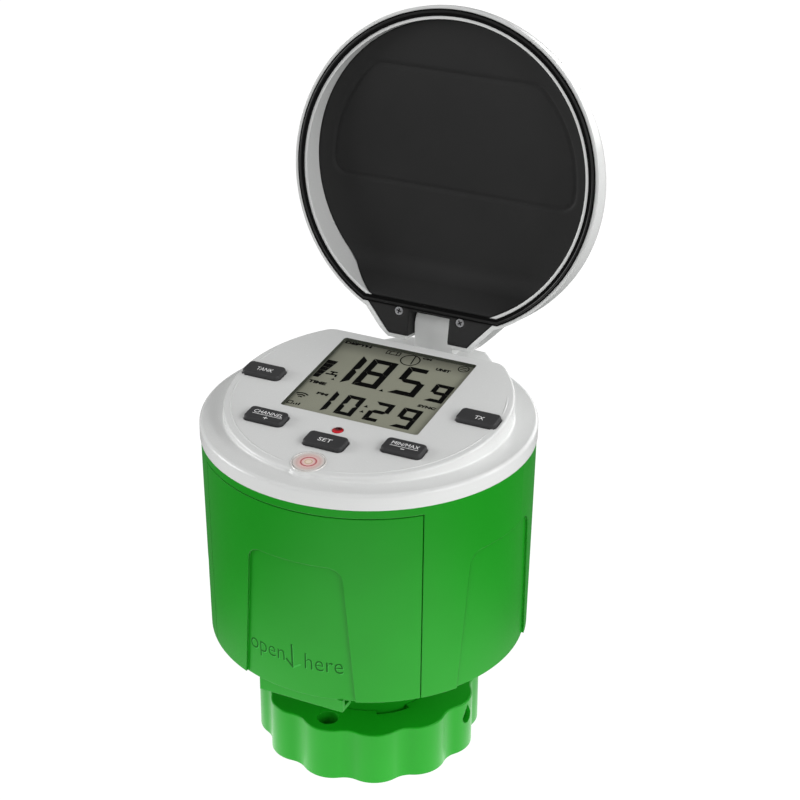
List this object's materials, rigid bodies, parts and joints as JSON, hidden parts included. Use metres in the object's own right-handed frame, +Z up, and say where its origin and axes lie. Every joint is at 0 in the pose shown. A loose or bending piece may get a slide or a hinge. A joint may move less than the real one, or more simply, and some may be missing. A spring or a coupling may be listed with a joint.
{
  "type": "ultrasonic level gauge",
  "caption": "Tank level gauge with a lobed base ring, tapered green body, battery door, sloping display platform with buttons and a hinged round lid.",
  "frame": {"origin": "centre of the base screw circle on the base ring's underside", "axes": "+Z up along the body's axis, -Y to the front with the battery door, +X to the right"},
  "size_m": [0.111, 0.1268, 0.2401],
  "materials": {
    "green_shell": "fine satin moulded plastic",
    "white_shell": "fine satin moulded plastic",
    "black_liner": "matt moulded plastic",
    "key": "matt dark grey",
    "inner_plastic": "matt black",
    "seal": "soft grey rubber",
    "lead": "matt cable jacket",
    "pane": "clear polished",
    "lcd": "grey-green liquid crystal",
    "board": "lacquered circuit board",
    "steel": "plain steel",
    "contact": "plain brass",
    "cell": "plain sleeve",
    "lamp": "red tinted lens",
    "vial": "clear vial"
  },
  "bodies": {
    "base": {"base_ring": "green_shell", "base_gasket": "seal"},
    "gauge": {"sensor_neck": "green_shell", "neck_gasket": "seal", "neck_nut": "inner_plastic", "transducer": "inner_plastic", "transducer_gasket": "seal", "transducer_retainer": "inner_plastic", "sensor_lead": "lead", "body_shell": "green_shell", "battery_tray": "inner_plastic", "battery_cells": "cell", "battery_contacts": "contact", "top_housing": "white_shell", "housing_seal": "seal", "housing_screws": "steel", "display_window": "pane", "lcd_panel": "lcd", "lcd_frame": "inner_plastic", "main_board": "board", "board_screws": "steel", "tact_switches": "inner_plastic", "status_lamp": "lamp", "level_vial": "vial"},
    "door": {"battery_door": "green_shell"},
    "lid": {"lid_shell": "white_shell", "lid_liner": "black_liner", "lid_seal": "seal", "lid_screws": "steel", "hinge_pin": "steel"},
    "mode_button": {"mode_button": "key"},
    "plus_button": {"plus_button": "key"},
    "set_button": {"set_button": "key"},
    "minus_button": {"minus_button": "key"},
    "send_button": {"send_button": "key"}
  },
  "joints": [
    {"name": "bayonet_twist", "type": "hinge", "parent": "base", "child": "gauge", "pos_m": [0, 0, 0.008], "axis": [0, 0, 1], "range_deg": [0, 45]},
    {"name": "lid_hinge", "type": "hinge", "parent": "gauge", "child": "lid", "pos_m": [0, 0.054, 0.1308], "axis": [1, 0, 0], "range_deg": [0, 100.6]},
    {"name": "door_hinge", "type": "hinge", "parent": "gauge", "child": "door", "pos_m": [0, -0.0552, 0.11215], "axis": [-1, 0, 0], "range_deg": [0, 35]},
    {"name": "mode_press", "type": "slide", "parent": "gauge", "child": "mode_button", "axis": [0, 0.0976, -0.9952], "range_m": [0, 0.0009], "stiffness_N_per_m": 400, "springref_m": -0.001},
    {"name": "plus_press", "type": "slide", "parent": "gauge", "child": "plus_button", "axis": [0, 0.0976, -0.9952], "range_m": [0, 0.0009], "stiffness_N_per_m": 400, "springref_m": -0.001},
    {"name": "set_press", "type": "slide", "parent": "gauge", "child": "set_button", "axis": [0, 0.0976, -0.9952], "range_m": [0, 0.0009], "stiffness_N_per_m": 400, "springref_m": -0.001},
    {"name": "minus_press", "type": "slide", "parent": "gauge", "child": "minus_button", "axis": [0, 0.0976, -0.9952], "range_m": [0, 0.0009], "stiffness_N_per_m": 400, "springref_m": -0.001},
    {"name": "send_press", "type": "slide", "parent": "gauge", "child": "send_button", "axis": [0, 0.0976, -0.9952], "range_m": [0, 0.0009], "stiffness_N_per_m": 400, "springref_m": -0.001}
  ]
}
